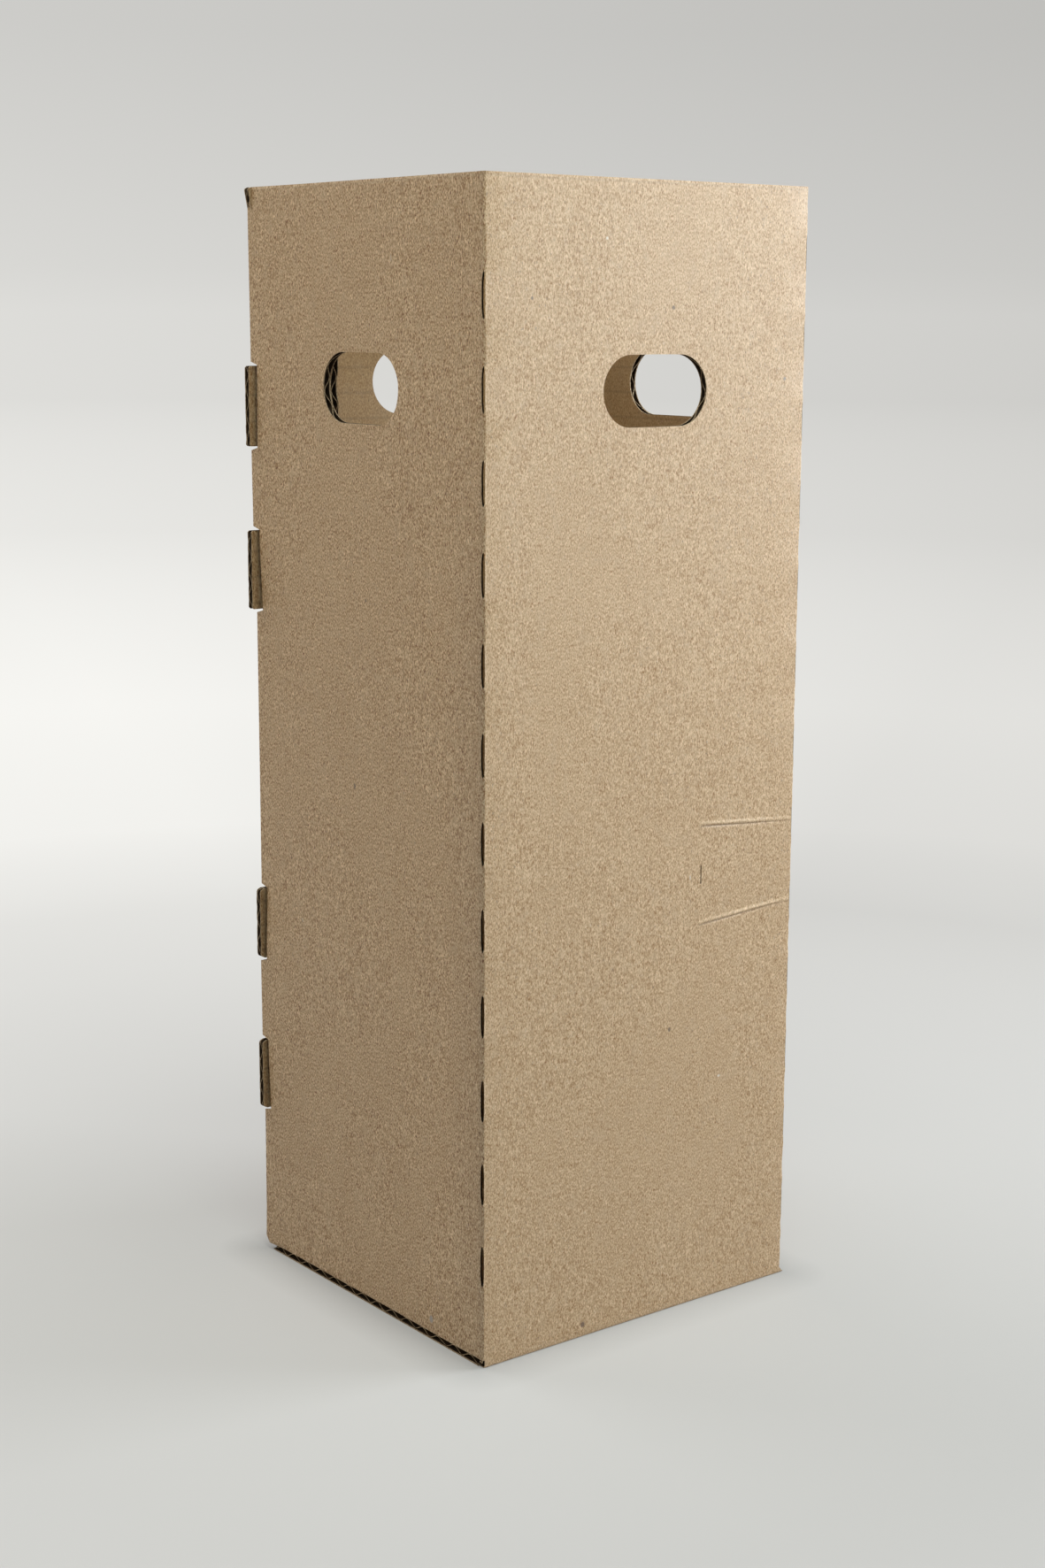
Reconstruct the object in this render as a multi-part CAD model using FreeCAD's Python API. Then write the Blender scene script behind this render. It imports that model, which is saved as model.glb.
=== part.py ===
import FreeCAD, Part
import math
import os

# A tall square box of single-wall corrugated board, open at the top and folded from one die-cut sheet.
# Lengths are in millimetres. +Z is up, the front wall faces -Y and the wall with the tab joint faces -X.
# The origin is on the surface that the box stands on, at the middle of its footprint.
# The sheet is two solids: the sleeve of four walls, and the bottom flap that swings on the front wall's foot.

# Outer size of the folded walls
height = 340.0
width = 120.0
depth = 118.5

# Board: a fluted medium between two liners, with the flutes running level round the walls
board = 2.4
liner = 0.3
medium = 0.25
flute_pitch = 8.0
mouth_depth = 2.0
fold_outside = 1.5
fold_inside = 0.5

# Hand holes, one in each wall, and how far each sits off the middle of its wall
hole_length = 38.8
hole_height = 20.5
hole_level = 281.4
hole_shift_front = 1.4
hole_shift_left = 0.8
hole_shift_right = -1.1
hole_shift_back = 2.2

# Slits cut along the three folds between walls: one row for the left and back folds, one for the right fold
slit_count = 12
slit_first = 31.5
slit_pitch = 25.1
right_slit_count = 13
right_slit_first = 25.5
right_slit_pitch = 24.6
slit_length = 12.5
slit_width = 0.8

# Tab joint: four tabs of the back wall pass through notches in the free edge of the left wall
joint_flap = 40.0
joint_gap = 0.2
tab_reach = 2.9
tab_reach_lower = 1.9
tab_height = 24.4
tab_height_lower = 22.8
tab_first = 48.8
tab_pitch = 50.4
tab_pair_pitch = 163.1
tab_round_lower = 1.4
tab_round_upper = 0.4
notch_depth = 3.5
notch_gap = 0.4
notch_flare = 1.4
corner_height = 6.5
corner_reach = 1.35
corner_round = 1.2
corner_depth = 2.6
foot_chamfer = 2.0

# Marks pressed and cut in the front wall, measured from its left fold
mark_start = 82.1
mark_end = 118.4
mark_upper_level = 152.5
mark_upper_rise = -2.7
mark_lower_level = 121.9
mark_lower_rise = 2.4
mark_width = 1.2
mark_depth = 0.35
nick_level = 134.0
nick_length = 5.8
nick_width = 0.5

# Dust flaps, folded in from the left and right walls above the bottom flap
dust_reach = 52.0
dust_taper = 6.0
dust_side_gap = 1.5
dust_gap = 0.3

# Bottom flap and its tuck lip
seat_gap = 0.1
hinge_gap = 0.2
lip_height = 14.0
lip_gap = 0.15
lip_side_gap = 1.5
lip_taper = 2.0
lip_round = 4.0
tip_reach = 1.2

# Places worked out from the sizes above
x_left = -(width + tab_reach + tip_reach) / 2 + tab_reach
x_right = x_left + width
y_front = -depth / 2
y_back = depth / 2
x_joint = x_left + board + joint_gap
y_joint = y_back - joint_flap
wall_foot = board + seat_gap
dust_top = wall_foot + board
panel_start = board + hinge_gap
back_inside = depth - board
panel_reach = math.sqrt((back_inside - lip_gap) ** 2 - lip_height ** 2)
y_lip_outside = y_front + panel_reach
y_lip_inside = y_lip_outside - board
spare = 1.0

LEFT = FreeCAD.Vector(-1, 0, 0)
RIGHT = FreeCAD.Vector(1, 0, 0)
FRONT = FreeCAD.Vector(0, -1, 0)
BACK = FreeCAD.Vector(0, 1, 0)
UP = FreeCAD.Vector(0, 0, 1)


def block(x_range, y_range, z_range):
    """A box between two corners."""
    low = FreeCAD.Vector(x_range[0], y_range[0], z_range[0])
    sides = [x_range[1] - x_range[0], y_range[1] - y_range[0], z_range[1] - z_range[0]]
    return Part.makeBox(sides[0], sides[1], sides[2], low)


def flat_xy(u, v):
    return FreeCAD.Vector(u, v, 0)


def flat_xz(u, v):
    return FreeCAD.Vector(u, 0, v)


def flat_yz(u, v):
    return FreeCAD.Vector(0, u, v)


def rounded_face(corners, place):
    """A flat face from corners (u, v, radius), with an arc where the radius isn't zero."""
    count = len(corners)
    spots = [place(u, v) for u, v, radius in corners]
    turns = []
    for index, (u, v, radius) in enumerate(corners):
        spot = spots[index]
        if radius == 0:
            turns.append((spot, spot, None))
            continue
        to_last = (spots[index - 1] - spot).normalize()
        to_next = (spots[(index + 1) % count] - spot).normalize()
        half_angle = to_last.getAngle(to_next) / 2
        run = radius / math.tan(half_angle)
        middle = spot + (to_last + to_next).normalize() * (radius / math.sin(half_angle) - radius)
        turns.append((spot + to_last * run, spot + to_next * run, middle))
    edges = []
    for index, (start, end, middle) in enumerate(turns):
        if middle is not None:
            edges.append(Part.Arc(start, middle, end).toShape())
        next_start = turns[(index + 1) % count][0]
        edges.append(Part.LineSegment(end, next_start).toShape())
    return Part.Face(Part.Wire(edges))


def sleeve_body():
    """Four walls and the joint flap as one bent sheet, from the dust flaps' underside up to the rim."""
    corners = [
        (x_left, y_back, 0),
        (x_left, y_front, fold_outside),
        (x_right, y_front, fold_outside),
        (x_right, y_back, fold_outside),
        (x_joint, y_back, fold_outside),
        (x_joint, y_joint, 0),
        (x_joint + board, y_joint, 0),
        (x_joint + board, y_back - board, fold_inside),
        (x_right - board, y_back - board, fold_inside),
        (x_right - board, y_front + board, fold_inside),
        (x_left + board, y_front + board, fold_inside),
        (x_left + board, y_back, 0),
    ]
    sheet = rounded_face(corners, flat_xy)
    sheet.translate(UP * wall_foot)
    body = sheet.extrude(UP * (height - wall_foot))
    under_joint = block(
        (x_joint - joint_gap / 2, x_joint + board + spare),
        (y_joint - spare, y_lip_inside),
        (wall_foot - spare, dust_top + dust_gap),
    )
    return body.cut(under_joint)


def wall_feet():
    """The front and back walls reach down to the floor past the edge of the bottom flap."""
    footprint = [
        (x_left, y_front, fold_outside),
        (x_right, y_front, fold_outside),
        (x_right, y_back, fold_outside),
        (x_left, y_back, 0),
    ]
    prism = rounded_face(footprint, flat_xy).extrude(UP * wall_foot)
    front = prism.common(block((x_left, x_right), (y_front, y_front + board), (0, wall_foot)))
    back = prism.common(block((x_joint, x_right), (y_back - board, y_back), (0, wall_foot)))
    return front, back


def edge_round(x_range, y_range, corner, axis):
    """The waste outside a rounded lower edge, along X or along Y."""
    u, v, inward = corner
    radius = fold_outside
    if axis == "x":
        waste = block(x_range, sorted((u, u + inward * radius)), (v, v + radius))
        centre = FreeCAD.Vector(x_range[0], u + inward * radius, v + radius)
        roll = Part.makeCylinder(radius, x_range[1] - x_range[0], centre, RIGHT)
        return waste.cut(roll)
    waste = block(sorted((u, u + inward * radius)), y_range, (v, v + radius))
    centre = FreeCAD.Vector(u + inward * radius, y_range[0], v + radius)
    roll = Part.makeCylinder(radius, y_range[1] - y_range[0], centre, BACK)
    return waste.cut(roll)


def lower_edge_rounds():
    """Rounded folds along the foot of the front, left and right walls."""
    inner_front = y_front + board
    return [
        edge_round((x_left - spare, x_right + spare), None, (y_front, 0, 1), "x"),
        edge_round(None, (inner_front, y_back + spare), (x_left, wall_foot, 1), "y"),
        edge_round(None, (inner_front, y_back - board), (x_right, wall_foot, -1), "y"),
    ]


def dust_flap(root, tip):
    """A tapered flap from root to tip along X, level above the bottom flap."""
    near = y_front + board + dust_side_gap
    far = y_lip_inside - dust_side_gap
    corners = [(root, near, 0), (tip, near + dust_taper, 0), (tip, far - dust_taper, 0), (root, far, 0)]
    plate = rounded_face(corners, flat_xy)
    plate.translate(UP * wall_foot)
    return plate.extrude(UP * board)


def hand_hole(centre, outward):
    """A stadium hole through the wall whose outer face holds the centre, with its long side level."""
    side = UP.cross(outward)
    half_run = (hole_length - hole_height) / 2
    depth_cut = board + joint_gap + spare * 2
    start = centre + outward * spare
    pieces = []
    for sign in (-1, 1):
        end = start + side * (sign * half_run)
        pieces.append(Part.makeCylinder(hole_height / 2, depth_cut, end, -outward))
    low = start - side * half_run - UP * (hole_height / 2)
    corners = [low, low + side * (2 * half_run)]
    corners += [point + UP * hole_height for point in reversed(corners)]
    slab = Part.Face(Part.makePolygon(corners + [corners[0]])).extrude(-outward * depth_cut)
    return slab.fuse(pieces).removeSplitter()


def hole_centres():
    """The middle of each hand hole on the outer face of its wall, and that wall's outward direction."""
    middle_x = (x_left + x_right) / 2
    return [
        (FreeCAD.Vector(middle_x + hole_shift_front, y_front, hole_level), FRONT),
        (FreeCAD.Vector(x_left, hole_shift_left, hole_level), LEFT),
        (FreeCAD.Vector(x_right, hole_shift_right, hole_level), RIGHT),
        (FreeCAD.Vector(middle_x + hole_shift_back, y_back, hole_level), BACK),
    ]


def slit_places():
    """The middle of each slit on the sharp corner of its fold, and the direction out of the corner."""
    left_row = [slit_first + index * slit_pitch for index in range(slit_count)]
    right_row = [right_slit_first + index * right_slit_pitch for index in range(right_slit_count)]
    folds = [
        (x_left, y_front, LEFT + FRONT, left_row),
        (x_right, y_front, RIGHT + FRONT, right_row),
        (x_right, y_back, RIGHT + BACK, left_row),
    ]
    places = []
    for x, y, diagonal, levels in folds:
        outward = FreeCAD.Vector(diagonal).normalize()
        places += [(FreeCAD.Vector(x, y, level), outward) for level in levels]
    return places


def fold_slits():
    """Lens-shaped cuts through the folds that join two walls."""
    slits = []
    for corner, outward in slit_places():
        side = UP.cross(outward)
        middle = corner + outward * spare
        low = middle - UP * (slit_length / 2)
        high = middle + UP * (slit_length / 2)
        near = Part.Arc(low, middle + side * (slit_width / 2), high).toShape()
        far = Part.Arc(high, middle - side * (slit_width / 2), low).toShape()
        lens = Part.Face(Part.Wire([near, far]))
        slits.append(lens.extrude(-outward * (board * math.sqrt(2) + 2 * spare)))
    return slits


def tab_sizes():
    """Low edge, high edge, outer end and corner radius of each tab, lowest first."""
    sizes = []
    for index in (0, 1):
        low = tab_first + index * tab_pitch
        sizes.append((low, low + tab_height_lower, x_left - tab_reach_lower, tab_round_lower))
    for index in (0, 1):
        low = tab_first + tab_pair_pitch + index * tab_pitch
        sizes.append((low, low + tab_height, x_left - tab_reach, tab_round_upper))
    return sizes


def tabs():
    """Tabs in the plane of the back wall that stand out past the left wall."""
    root = x_joint + 2 * fold_outside
    shapes = []
    for low, high, end, radius in tab_sizes():
        corners = [(root, low, 0), (root, high, 0), (end, high, radius), (end, low, radius)]
        face = rounded_face(corners, flat_xz)
        face.translate(BACK * (y_back - board))
        shapes.append(face.extrude(BACK * board))
    return shapes


def notches():
    """Flared notches in the left wall's free edge, and the windows that the tabs leave in the joint flap."""
    shapes = []
    for low, high, end, radius in tab_sizes():
        corners = [
            (y_back + spare, low - notch_flare, 0),
            (y_back - notch_depth, low - notch_gap, 0),
            (y_back - notch_depth, high + notch_gap, 0),
            (y_back + spare, high + notch_flare, 0),
        ]
        face = rounded_face(corners, flat_yz)
        face.translate(RIGHT * (x_left - spare))
        shapes.append(face.extrude(RIGHT * (spare + board + joint_gap / 2)))
        window = (y_back - 2 * board - tab_reach, y_back - board)
        shapes.append(block((x_joint - joint_gap / 2, x_joint + board + spare), window, (low, high)))
    return shapes


def back_corner():
    """The top corner of the back wall, which stands out past the left wall like a small tab."""
    root = x_joint + 2 * fold_outside
    corners = [
        (root, height - corner_height, 0),
        (root, height, 0),
        (x_left - corner_reach, height, corner_round),
        (x_left, height - corner_height, 0),
    ]
    face = rounded_face(corners, flat_xz)
    face.translate(BACK * (y_back - board))
    return face.extrude(BACK * board)


def corner_cut():
    """The slanting cut at the top of the left wall's free edge, beside the back wall's corner."""
    corners = [
        (y_back - corner_depth, height, 0),
        (y_back - corner_depth, height + spare, 0),
        (y_back + spare, height + spare, 0),
        (y_back + spare, height - corner_height, 0),
        (y_back, height - corner_height, 0),
    ]
    face = rounded_face(corners, flat_yz)
    face.translate(RIGHT * (x_left - spare))
    return face.extrude(RIGHT * (spare + board + joint_gap / 2))


def foot_corner():
    """The chamfer at the foot of the left wall's free edge."""
    corners = [
        (y_back + spare, wall_foot - spare, 0),
        (y_back + spare, wall_foot + foot_chamfer + spare, 0),
        (y_back - foot_chamfer - spare, wall_foot - spare, 0),
    ]
    face = rounded_face(corners, flat_yz)
    face.translate(RIGHT * (x_left - spare))
    return face.extrude(RIGHT * (spare + board + joint_gap / 2))


def front_marks():
    """Two pressed lines and a short cut in the front wall."""
    shapes = []
    lines = [(mark_upper_level, mark_upper_rise), (mark_lower_level, mark_lower_rise)]
    for level, rise in lines:
        corners = [
            FreeCAD.Vector(x_left + mark_start, y_front, level - mark_width / 2),
            FreeCAD.Vector(x_left + mark_start, y_front, level + mark_width / 2),
            FreeCAD.Vector(x_left + mark_start, y_front + mark_depth, level),
        ]
        face = Part.Face(Part.makePolygon(corners + [corners[0]]))
        shapes.append(face.extrude(FreeCAD.Vector(mark_end - mark_start, 0, rise)))
    nick_x = x_left + mark_start
    nick = ((nick_x, nick_x + nick_width), (y_front - spare, y_front + board + spare))
    shapes.append(block(nick[0], nick[1], (nick_level, nick_level + nick_length)))
    return shapes


def mouth(centre, along, across, inward, reach, flip):
    """One flute's opening in a cut edge: a triangle between a liner and the wave of the medium."""
    half = flute_pitch / 2 - medium * 2
    base, tip = liner, board - liner - medium
    if flip:
        base, tip = board - liner, liner + medium
    start = centre - inward * spare
    corners = [
        start + along * half + across * base,
        start - along * half + across * base,
        start + across * tip,
    ]
    return Part.Face(Part.makePolygon(corners + [corners[0]])).extrude(inward * (reach + spare))


def flute_rows(low, high):
    """Each flute mouth that fits whole between two places, with the side it opens to."""
    step = flute_pitch / 2
    margin = step - medium
    first = math.ceil((low + margin) / step)
    last = math.floor((high - margin) / step)
    return [(index * step, index % 2 == 1) for index in range(first, last + 1)]


def wall_mouths():
    """Flute mouths in the left wall's free edge and the ends of the tabs and the hand holes."""
    shapes = []
    bounds = [wall_foot + foot_chamfer]
    for low, high, end, radius in tab_sizes():
        bounds += [low - notch_flare, high + notch_flare]
    bounds.append(height - corner_height)
    for low, high in zip(bounds[::2], bounds[1::2]):
        for level, flip in flute_rows(low, high):
            spot = FreeCAD.Vector(x_left, y_back, level)
            shapes.append(mouth(spot, UP, RIGHT, FRONT, mouth_depth, flip))
    for low, high, end, radius in tab_sizes():
        for level, flip in flute_rows(low, high):
            spot = FreeCAD.Vector(end, y_back, level)
            shapes.append(mouth(spot, UP, FRONT, RIGHT, mouth_depth, flip))
    radius = hole_height / 2
    half_run = (hole_length - hole_height) / 2
    for centre, outward in hole_centres():
        side = UP.cross(outward)
        for level, flip in flute_rows(hole_level - radius, hole_level + radius):
            rim = half_run + math.sqrt(radius ** 2 - (level - hole_level) ** 2)
            for sign in (-1, 1):
                spot = FreeCAD.Vector(centre.x, centre.y, level)
                shapes.append(mouth(spot, UP, -outward, side * sign, rim + mouth_depth, flip))
    return shapes


def wall_sleeve():
    """The four walls with all that is folded, cut and pressed in them."""
    front_foot, back_foot = wall_feet()
    left_dust = dust_flap(x_left + fold_outside, x_left + dust_reach)
    right_dust = dust_flap(x_right - fold_outside, x_right - dust_reach)
    body = sleeve_body().fuse([front_foot, back_foot])
    body = body.cut(lower_edge_rounds())
    body = body.fuse([left_dust, right_dust])
    holes = [hand_hole(centre, outward) for centre, outward in hole_centres()]
    body = body.cut(holes + fold_slits() + notches() + front_marks() + [foot_corner(), corner_cut()])
    body = body.fuse(tabs() + [back_corner()])
    body = body.cut(wall_mouths())
    return body.removeSplitter()


def flap_mouths():
    """Flute mouths in the two side edges of the bottom flap."""
    shapes = []
    for place, flip in flute_rows(y_front + panel_start, y_lip_outside - fold_outside):
        left_spot = FreeCAD.Vector(x_left, place, 0)
        right_spot = FreeCAD.Vector(x_right + tip_reach, place, 0)
        shapes.append(mouth(left_spot, BACK, UP, RIGHT, mouth_depth, flip))
        shapes.append(mouth(right_spot, BACK, UP, LEFT, mouth_depth, flip))
    return shapes


def bottom_flap():
    """The closing panel under the box, with its tuck lip folded up inside the back wall."""
    profile = [
        (y_front + panel_start, 0, 0),
        (y_lip_outside, 0, fold_outside),
        (y_lip_outside, board, 0),
        (y_front + panel_start, board, 0),
    ]
    face = rounded_face(profile, flat_yz)
    face.translate(RIGHT * x_left)
    plate = face.extrude(RIGHT * (width + tip_reach))
    lip_left = x_joint + board + lip_side_gap
    lip_right = x_right - board - lip_side_gap
    outline = [
        (lip_left, board / 2, 0),
        (lip_right, board / 2, 0),
        (lip_right, board * 2, 0),
        (lip_right - lip_taper, lip_height, lip_round),
        (lip_left + lip_taper, lip_height, lip_round),
        (lip_left, board * 2, 0),
    ]
    lip = rounded_face(outline, flat_xz)
    lip.translate(BACK * y_lip_inside)
    lip = lip.extrude(BACK * board)
    lip = lip.cut(edge_round((lip_left, lip_right), None, (y_lip_outside, 0, -1), "x"))
    return plate.fuse(lip).removeSplitter().cut(flap_mouths())


def export_parts():
    os.makedirs("parts", exist_ok=True)
    nodes = {"wall_sleeve": wall_sleeve(), "bottom_flap": bottom_flap()}
    for name, shape in nodes.items():
        shape = shape.Solids[0] if len(shape.Solids) == 1 else shape
        box = shape.BoundBox
        print(name, "solids", len(shape.Solids), "valid", shape.isValid(), "volume", round(shape.Volume))
        print("  x", round(box.XMin, 3), round(box.XMax, 3), "y", round(box.YMin, 3), round(box.YMax, 3))
        print("  z", round(box.ZMin, 3), round(box.ZMax, 3))
        shape.exportStep("parts/" + name + ".step")


export_parts()
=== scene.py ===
import math

import bmesh
import bpy
from mathutils import Matrix, Vector, noise


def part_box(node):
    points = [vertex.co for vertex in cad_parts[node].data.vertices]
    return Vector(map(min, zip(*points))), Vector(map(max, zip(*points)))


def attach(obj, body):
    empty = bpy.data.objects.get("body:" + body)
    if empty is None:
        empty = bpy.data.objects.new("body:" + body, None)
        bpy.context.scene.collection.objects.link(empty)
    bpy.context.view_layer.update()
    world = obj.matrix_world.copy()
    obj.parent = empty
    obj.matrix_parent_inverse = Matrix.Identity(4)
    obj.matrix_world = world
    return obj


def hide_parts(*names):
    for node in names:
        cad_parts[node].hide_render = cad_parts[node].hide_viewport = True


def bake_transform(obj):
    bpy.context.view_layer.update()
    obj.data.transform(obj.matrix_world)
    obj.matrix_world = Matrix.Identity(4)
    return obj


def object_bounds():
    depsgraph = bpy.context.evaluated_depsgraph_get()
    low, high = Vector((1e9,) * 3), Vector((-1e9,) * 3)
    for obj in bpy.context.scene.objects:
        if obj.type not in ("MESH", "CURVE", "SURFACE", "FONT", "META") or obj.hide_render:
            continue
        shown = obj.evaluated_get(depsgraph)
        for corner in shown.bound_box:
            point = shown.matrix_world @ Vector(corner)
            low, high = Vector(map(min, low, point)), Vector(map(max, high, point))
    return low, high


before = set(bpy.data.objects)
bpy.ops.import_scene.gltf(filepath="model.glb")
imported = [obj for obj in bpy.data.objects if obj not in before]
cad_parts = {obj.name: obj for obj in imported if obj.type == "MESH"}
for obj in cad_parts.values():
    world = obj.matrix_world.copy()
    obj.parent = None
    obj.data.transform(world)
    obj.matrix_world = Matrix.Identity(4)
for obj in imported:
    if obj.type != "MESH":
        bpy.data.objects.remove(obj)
cad_low, cad_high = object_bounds()

# Places that the frame gives, in metres: the left wall faces -X and the front wall faces -Y
MM = 0.001
sleeve_low, sleeve_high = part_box("wall_sleeve")
panel_low, panel_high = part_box("bottom_flap")
x_left = panel_low.x
x_right = sleeve_high.x
y_front = sleeve_low.y
y_back = sleeve_high.y
rim = sleeve_high.z
y_lip = panel_high.y
lip_top = panel_high.z
panel_tip = panel_high.x

# Board: a fluted medium between two liners, the flutes running level
board = 2.4 * MM
liner = 0.3 * MM
medium = 0.22 * MM
flute_pitch = 8.0 * MM
flute_rise = (board - 2 * liner - medium) / 2
fold_outside = 0.8 * MM
fold_middle = 0.5 * MM
fold_inside = 0.36 * MM
wall_foot = board + 0.1 * MM
dust_top = wall_foot + board
skirt_drop = 0.45 * MM

# Joint flap and the tabs of the back wall
joint_gap = 0.2 * MM
joint_reach = 40.0 * MM
x_joint = x_left + board + joint_gap
tab_root = x_joint + 3.0 * MM
lower_tab_end = x_left - 1.9 * MM
upper_tab_end = sleeve_low.x
tab_table = [
    (48.8 * MM, 71.6 * MM, lower_tab_end, 1.4 * MM),
    (99.2 * MM, 122.0 * MM, lower_tab_end, 1.4 * MM),
    (211.9 * MM, 236.3 * MM, upper_tab_end, 0.5 * MM),
    (262.3 * MM, 286.7 * MM, upper_tab_end, 0.5 * MM),
]
notch_depth = 3.5 * MM
notch_gap = 0.4 * MM
notch_flare = 1.4 * MM
window_reach = 2 * board + 2.9 * MM
foot_chamfer = 2.0 * MM

# Hand holes: a stadium in each wall
hole_length = 38.8 * MM
hole_height = 20.5 * MM
hole_level = 281.4 * MM
hole_front_x = (x_left + x_right) / 2 + 1.4 * MM
hole_back_x = (x_left + x_right) / 2 + 2.2 * MM
hole_left_y = 0.8 * MM
hole_right_y = -1.1 * MM

# Slits along the folds: the left and back folds have one row, the right fold another
slit_length = 13.0 * MM
slit_width = 1.15 * MM
slit_shift = 0.35 * MM
slit_row = [(31.5 + 25.1 * index) * MM for index in range(12)]
right_slit_row = [(25.5 + 24.6 * index) * MM for index in range(13)]
slit_pout = 0.2 * MM

# Dust flaps and the lip of the bottom flap
dust_reach = 52.0 * MM
dust_taper = 6.0 * MM
dust_front = y_front + board + 1.5 * MM
dust_back = y_lip - board - 1.5 * MM
lip_left = x_joint + board + 1.5 * MM
lip_right = x_right - board - 1.5 * MM
lip_taper = 2.0 * MM
lip_round = 4.0 * MM
panel_start = y_front + board + 0.2 * MM

# How the free edge of the left wall bows outwards, as level and offset from the foot to the rim
edge_bow = [
    (0.000, 0.30),
    (0.047, 0.00),
    (0.140, -0.10),
    (0.207, 0.50),
    (0.292, 0.60),
    (0.362, -0.10),
    (0.490, -0.12),
    (0.617, -0.10),
    (0.690, 0.75),
    (0.770, 0.95),
    (0.850, 0.70),
    (1.000, 0.95),
]
edge_bow_reach = 26.0 * MM

# Top corner of the back wall, which stands out past the left wall like a small tab
corner_height = 6.5 * MM
corner_reach = 2.2 * MM
corner_foot_reach = 0.9 * MM
corner_round = 1.2 * MM
corner_depth = 2.6 * MM

# Marks on the front wall, measured from the left fold: level at the left end, rise to the right end
marks = [(152.5 * MM, -2.7 * MM), (121.9 * MM, 2.4 * MM)]
mark_start = x_left + 82.1 * MM
mark_end = x_left + 118.9 * MM
mark_sag = 0.15 * MM
nick_low = 134.0 * MM
nick_high = 139.8 * MM

# Specks that stand out on the paper, in millimetres: place, half length, half height and colour
left_specks = [
    (64.7, 163.4, 0.55, 1.1, (0.10, 0.06, 0.04, 1)),
    (94.3, 116.0, 0.4, 0.7, (0.55, 0.47, 0.37, 1)),
    (25.9, 6.6, 1.0, 1.3, (0.36, 0.34, 0.33, 1)),
    (44.0, 318.0, 0.3, 1.2, (0.62, 0.52, 0.40, 1)),
    (58.0, 220.0, 0.4, 0.6, (0.16, 0.10, 0.07, 1)),
]
front_specks = [
    (16.4, 307.0, 0.5, 0.6, (0.16, 0.11, 0.08, 1)),
    (67.7, 304.7, 0.7, 0.7, (0.14, 0.09, 0.06, 1)),
    (70.7, 90.3, 0.6, 0.8, (0.13, 0.08, 0.05, 1)),
    (37.8, 3.9, 0.9, 1.0, (0.13, 0.07, 0.05, 1)),
    (91.4, 71.7, 0.6, 0.5, (0.72, 0.66, 0.58, 1)),
    (42.8, 323.5, 0.5, 0.5, (0.80, 0.74, 0.64, 1)),
    (111.9, 284.2, 0.6, 0.6, (0.24, 0.21, 0.19, 1)),
    (78.0, 136.5, 0.25, 0.8, (0.72, 0.66, 0.58, 1)),
]

# Camera and floor
camera_offset = Vector((-393.9, -524.45, 302.9)) * MM
camera_yaw = math.radians(37.856)
camera_pitch = math.radians(11.086)
camera_roll = math.radians(0.269)
camera_lens = 55.14
sensor_height = 36.0

# Lamps: name, place, what it is aimed at, side of its square, watts and colour
lamps = [
    ("key", (0.59, -0.34, 0.43), (0.0, 0.0, 0.25), 0.40, 5.05, (0.95, 1.0, 1.06)),
    ("front_top", (-0.09, -0.34, 0.86), (0.0, 0.0, 0.25), 0.45, 3.4, (0.96, 1.07, 1.03)),
    ("back_top", (-0.15, 0.40, 0.80), (0.0, 0.0, 0.25), 0.45, 2.6, (1.0, 1.0, 1.0)),
    ("left_fill", (-1.06, 0.0, 0.53), (0.0, 0.0, 0.25), 0.60, 1.42, (1.07, 0.97, 0.78)),
    ("overhead", (-0.17, 0.10, 1.33), (0.0, 0.0, 0.25), 0.60, 1.0, (1.0, 1.0, 1.0)),
]
world_strength = 0.06

# Papers: the liner outside and inside, their pale and dark flecks, and how far the grain moves each channel
liner_brown = (0.54, 0.362, 0.20, 1)
liner_pale = (0.76, 0.62, 0.45, 1)
liner_dark = (0.17, 0.11, 0.07, 1)
inside_brown = (0.45, 0.290, 0.140, 1)
inside_pale = (0.56, 0.42, 0.28, 1)
inside_dark = (0.14, 0.09, 0.05, 1)
grain_swing = (0.82, 1.10, 1.52)
darkest_paper = (0.02, 0.01, 0.005)


# Hand tools

def select_only(piece):
    bpy.ops.object.select_all(action="DESELECT")
    piece.select_set(True)
    bpy.context.view_layer.objects.active = piece


def start_editing(piece):
    select_only(piece)
    bpy.ops.object.mode_set(mode="EDIT")


def stop_editing():
    bpy.ops.object.mode_set(mode="OBJECT")


def choose(kind, test):
    """In edit mode, select just the vertices, edges or faces that pass the test."""
    bpy.ops.mesh.select_mode(type=kind)
    bpy.ops.mesh.select_all(action="DESELECT")
    data = bpy.context.edit_object.data
    shape = bmesh.from_edit_mesh(data)
    parts = {"VERT": shape.verts, "EDGE": shape.edges, "FACE": shape.faces}[kind]
    for part in parts:
        if test(part):
            part.select_set(True)
    shape.select_flush_mode()
    bmesh.update_edit_mesh(data)


def edge_run(edge):
    return edge.verts[1].co - edge.verts[0].co


def is_upright(edge):
    run = edge_run(edge)
    return abs(run.z) > 0.99 * run.length


def ends_at(edge, axis, level):
    return all(abs(end.co[axis] - level) < 0.01 * MM for end in edge.verts)


def subdivide_edges(test, cuts):
    choose("EDGE", test)
    bpy.ops.mesh.subdivide(number_cuts=cuts)


def subdivide_along(axis, cuts, longer_than=0.0):
    def chosen(edge):
        run = edge_run(edge)
        return abs(run[axis]) > 0.99 * run.length and run.length > longer_than

    subdivide_edges(chosen, cuts)


def extrude_by(x, y, z):
    bpy.ops.mesh.extrude_region_move(TRANSFORM_OT_translate={"value": (x, y, z)})


def bevel_chosen(radius, segments):
    bpy.ops.mesh.bevel(offset=radius, offset_type="OFFSET", segments=segments, affect="EDGES")


def cut_across(place, normal):
    """In edit mode, add a line of edges where a plane crosses the whole piece."""
    bpy.ops.mesh.select_all(action="SELECT")
    bpy.ops.mesh.bisect(plane_co=place, plane_no=normal)


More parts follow.
